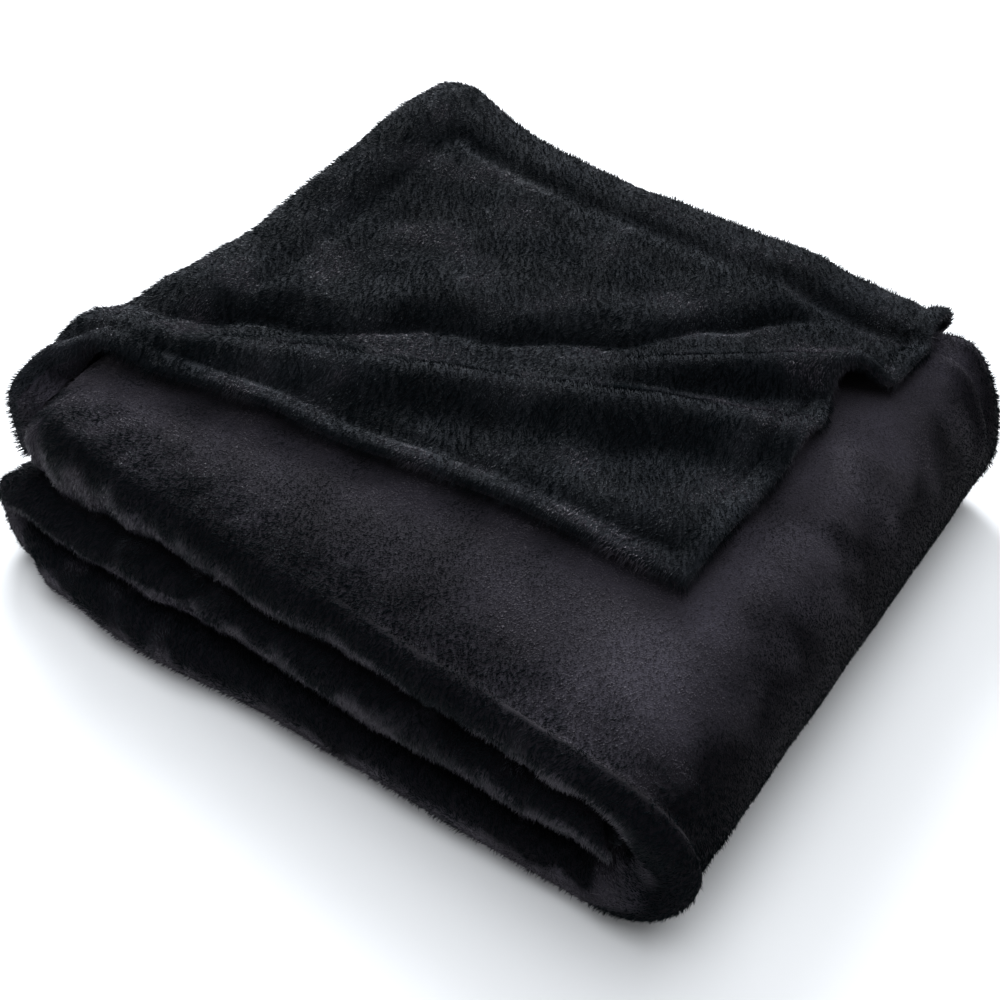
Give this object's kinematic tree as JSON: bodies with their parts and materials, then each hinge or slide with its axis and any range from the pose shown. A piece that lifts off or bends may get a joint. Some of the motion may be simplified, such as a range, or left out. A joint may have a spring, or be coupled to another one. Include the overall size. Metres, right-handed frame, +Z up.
{
  "type": "folded fleece blanket",
  "caption": "Plush fleece throw folded into a thick square pack, with one sheet of it turned over the top to show the long-piled reverse.",
  "frame": {"origin": "on the surface that the pack lies on, under the middle of its box", "axes": "+X along the long front towards the large side fold, +Y from the folded front to the back, +Z up"},
  "size_m": [0.4636, 0.4298, 0.1554],
  "materials": {
    "fleece": "soft plush pile, smooth and short on one face, long and clumped on the other"
  },
  "bodies": {
    "root": {"fleece_blanket": "fleece"}
  },
  "joints": []
}
